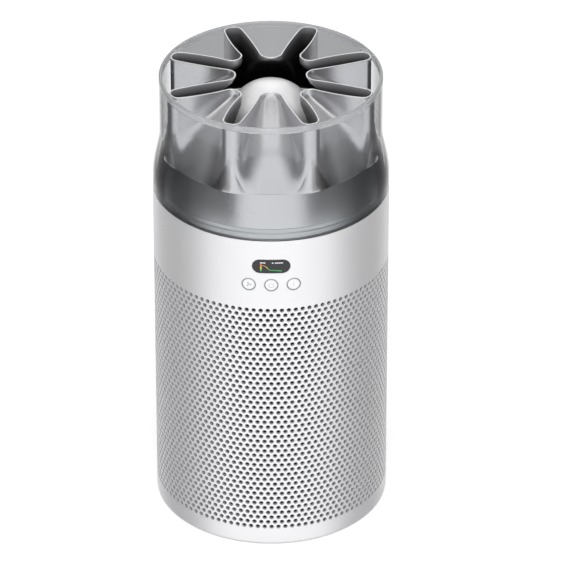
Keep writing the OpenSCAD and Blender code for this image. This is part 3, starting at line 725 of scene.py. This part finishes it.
def star_nozzle():
    rings = nozzle_rings()
    n = len(angles)
    a = np.tile(np.array(angles), len(rings))
    depth = np.repeat(np.array([d for d, _, _ in rings]), n)
    z = np.repeat(np.array([h for _, _, h in rings]), n)
    low, high = np.full(a.shape, 20.0), np.full(a.shape, 110.0)
    for _ in range(20):
        mid = (low + high) / 2
        out = field(a, z, mid) > 0
        high = np.where(out, mid, high)
        low = np.where(out, low, mid)
    radius = (low + high) / 2
    x, y = radius * np.cos(a), radius * np.sin(a)
    gx, gy = outward(x, y, z)
    length = np.hypot(gx, gy)
    depth = depth / length / np.clip(length, 0.6, 1.0)
    x, y = (x - gx * depth).reshape(len(rings), n), (y - gy * depth).reshape(len(rings), n)
    points = []
    for j, (_, height, _) in enumerate(rings):
        eighth = list(zip(x[j], y[j]))
        quarter = eighth + [(v, u) for u, v in eighth[-2:0:-1]]
        for c, s in ((1, 0), (0, 1), (-1, 0), (0, -1)):
            points += [(u * c - v * s, u * s + v * c, height) for u, v in quarter]
    m, total = len(points) // len(rings), len(rings)
    faces = [(j * m + k, j * m + (k + 1) % m, (j + 1) % total * m + (k + 1) % m, (j + 1) % total * m + k)
             for j in range(total) for k in range(m)]
    obj = make("star_nozzle_shell", points, faces, MAT["silver_plastic"].mat, 60)
    obj.data.materials.append(LINER.mat)
    obj.data.materials.append(RIM_EDGE.mat)
    kinds = [0] * OUTER_RINGS + [2] * 8 + [1] * (total - OUTER_RINGS - 9) + [0]
    obj.data.polygons.foreach_set("material_index", [kind for kind in kinds for _ in range(m)])
    return obj


finish_piece(star_nozzle(), "root", "silver_plastic", "star_nozzle")
skirt = rounded([
    (SKIRT_R - 1.8, SKIRT_Z, 0), (SKIRT_R, SKIRT_Z, 0.4), (NOZZLE_R + 0.5, NOZZLE_BASE - 0.2, 0.2),
    (NOZZLE_R, NOZZLE_BASE, 0.1), (NOZZLE_R, NOZZLE_BASE - 4.5, 0)])
finish_piece(revolve("nozzle_skirt_cone", skirt, MAT["silver_plastic"].mat, 360), "root", "silver_plastic",
             "nozzle_skirt")


def dome_arc(r, start, end, count):
    return [(r * math.cos(t), DOME_Z + r * math.sin(t)) for t in np.linspace(start, end, count)]


dome = ([(40.0, 350.0)] + dome_arc(DOME_R, 0, math.pi / 2, 40) + dome_arc(DOME_R - 2, math.pi / 2, 0, 24)
        + [(38.0, 350.0)])
finish_piece(revolve("dome_cap", dome, MAT["dome_silver"].mat, 200), "root", "dome_silver", "nozzle_dome")

# ---- set: floor, light, camera ----
floor_mat = surface("studio_floor", (0.95, 0.95, 0.95), 0.7, grain=0.0, tint=0.004)
floor_mat.set(Emission_Color=(1, 1, 1, 1), Emission_Strength=0.3)
FLOOR_HALF = 6000
floor = make("studio_floor", [(-FLOOR_HALF, -FLOOR_HALF, 0), (FLOOR_HALF, -FLOOR_HALF, 0),
                              (FLOOR_HALF, FLOOR_HALF, 0), (-FLOOR_HALF, FLOOR_HALF, 0)], [(0, 1, 2, 3)],
             floor_mat.mat)
floor.visible_glossy = floor.visible_transmission = False


def collar_card(name, points, face, material):
    """Card that is only seen by light that has passed through the clear collar."""
    card = make(name, points, [face], material)
    card.visible_camera = card.visible_diffuse = card.visible_glossy = card.visible_shadow = False


card_mat = Nodes("studio_card")
card_mat.set(Base_Color=(0, 0, 0, 1), Roughness=1.0, Emission_Color=(0.5, 0.5, 0.51, 1),
             Emission_Strength=0.85)
collar_card("studio_card", [(-94, 150, 300), (94, 150, 300), (94, 150, 470), (-94, 150, 470)], (0, 1, 2, 3),
            card_mat.mat)
flag_mat = Nodes("studio_flag")
flag_mat.set(Base_Color=(0, 0, 0, 1), Roughness=1.0, Specular_IOR_Level=0.0,
             Emission_Color=(0.03, 0.03, 0.035, 1), Emission_Strength=1.0)
for side, name in ((-1, "studio_flag_left"), (1, "studio_flag_right")):
    collar_card(name, [(side * 170, y, z) for y in (0, 230) for z in (200, 480)], (0, 2, 3, 1), flag_mat.mat)

world = bpy.data.worlds.new("studio")
bpy.context.scene.world = world
world.use_nodes = True
tree = world.node_tree
tree.nodes.clear()


def world_node(kind, **values):
    node = tree.nodes.new(kind)
    for key, value in values.items():
        setattr(node, key, value)
    return node


def world_math(kind, a, b=0.0):
    node = world_node("ShaderNodeMath", operation=kind)
    for socket, value in zip(node.inputs, (a, b)):
        if isinstance(value, (int, float)):
            socket.default_value = value
        else:
            tree.links.new(value, socket)
    return node.outputs[0]


def world_ramp(fac, *stops):
    node = world_node("ShaderNodeValToRGB")
    while len(node.color_ramp.elements) < len(stops):
        node.color_ramp.elements.new(0.5)
    for element, (place, value) in zip(node.color_ramp.elements, stops):
        element.position = place
        element.color = (value, value, value, 1)
    tree.links.new(fac, node.inputs[0])
    return node.outputs[0]


def world_range(value, low, high, first=0.0, last=1.0):
    node = world_node("ShaderNodeMapRange", interpolation_type="SMOOTHSTEP")
    for key, number in zip(("From Min", "From Max", "To Min", "To Max"), (low, high, first, last)):
        node.inputs[key].default_value = number
    tree.links.new(value, node.inputs["Value"])
    return node.outputs[0]


def world_mix(fac, a, b):
    first = world_math("MULTIPLY", world_math("SUBTRACT", 1.0, fac), a)
    return world_math("ADD", first, world_math("MULTIPLY", fac, b))


# Studio seen in reflections: turn runs from 0 at the front to 1 at the back, z from -1 below to 1 above
coords = world_node("ShaderNodeTexCoord")
axes = world_node("ShaderNodeSeparateXYZ")
tree.links.new(coords.outputs["Generated"], axes.inputs[0])
side = world_math("ABSOLUTE", axes.outputs["X"])
towards = world_math("MULTIPLY", axes.outputs["Y"], -1.0)
turn = world_math("DIVIDE", world_math("ARCTAN2", side, towards), math.pi)
height = axes.outputs["Z"]
below = world_ramp(turn, (0.0, 1.0), (0.30, 1.0), (0.42, 0.34), (0.50, 0.10), (0.62, 0.10), (0.74, 0.38),
                   (0.86, 0.95), (1.0, 1.0))
level = world_ramp(turn, (0.0, 1.0), (0.165, 1.0), (0.20, 0.17), (0.50, 0.05), (0.60, 0.02), (0.74, 0.02),
                   (0.83, 0.25), (0.93, 0.85), (1.0, 1.0))
shade = world_mix(world_range(height, -0.50, -0.18), below, level)
above = world_ramp(turn, (0.0, 1.0), (0.07, 1.0), (0.15, 0.36), (0.35, 0.34), (0.52, 0.55), (0.62, 0.5),
                   (0.72, 0.3), (0.85, 0.35), (0.95, 0.9), (1.0, 0.95))
shade = world_mix(world_range(height, 0.18, 0.80), shade, above)
shade = world_math("MULTIPLY", shade, world_range(height, -0.95, -0.62, 0.3, 1.0))
room = world_node("ShaderNodeBackground")
tree.links.new(shade, room.inputs["Color"])
room.inputs["Strength"].default_value = 1.0
white = world_node("ShaderNodeBackground")
white.inputs["Color"].default_value = (1, 1, 1, 1)
path = world_node("ShaderNodeLightPath")
mix = world_node("ShaderNodeMixShader")
tree.links.new(path.outputs["Is Camera Ray"], mix.inputs[0])
tree.links.new(room.outputs[0], mix.inputs[1])
tree.links.new(white.outputs[0], mix.inputs[2])
out = world_node("ShaderNodeOutputWorld")
tree.links.new(mix.outputs[0], out.inputs["Surface"])


def area_light(name, place, aim, size, watts):
    data = bpy.data.lights.new(name, "AREA")
    data.shape = "RECTANGLE"
    data.size, data.size_y = size
    data.energy = watts
    obj = bpy.data.objects.new(name, data)
    obj.location = place
    obj.rotation_euler = (Vector(aim) - Vector(place)).to_track_quat("-Z", "Y").to_euler()
    obj.visible_glossy = obj.visible_transmission = False
    bpy.context.scene.collection.objects.link(obj)
    return obj


area_light("key_above", (0.0, -0.4, 2.2), (0, 0, 0.3), (1.6, 1.2), 22)
area_light("front_fill", (0.0, -2.4, 1.8), (0, 0, 0.25), (1.6, 1.0), 32)

camera = bpy.data.objects.new("camera", bpy.data.cameras.new("camera"))
camera.data.lens = 318.7
camera.data.sensor_width = 36.0
camera.location = (0.0, -4.244, 2.818)
camera.rotation_euler = (math.radians(58.632), 0.0, math.radians(-0.183))
bpy.context.scene.collection.objects.link(camera)
bpy.context.scene.camera = camera
bpy.context.scene.view_settings.view_transform = "Standard"
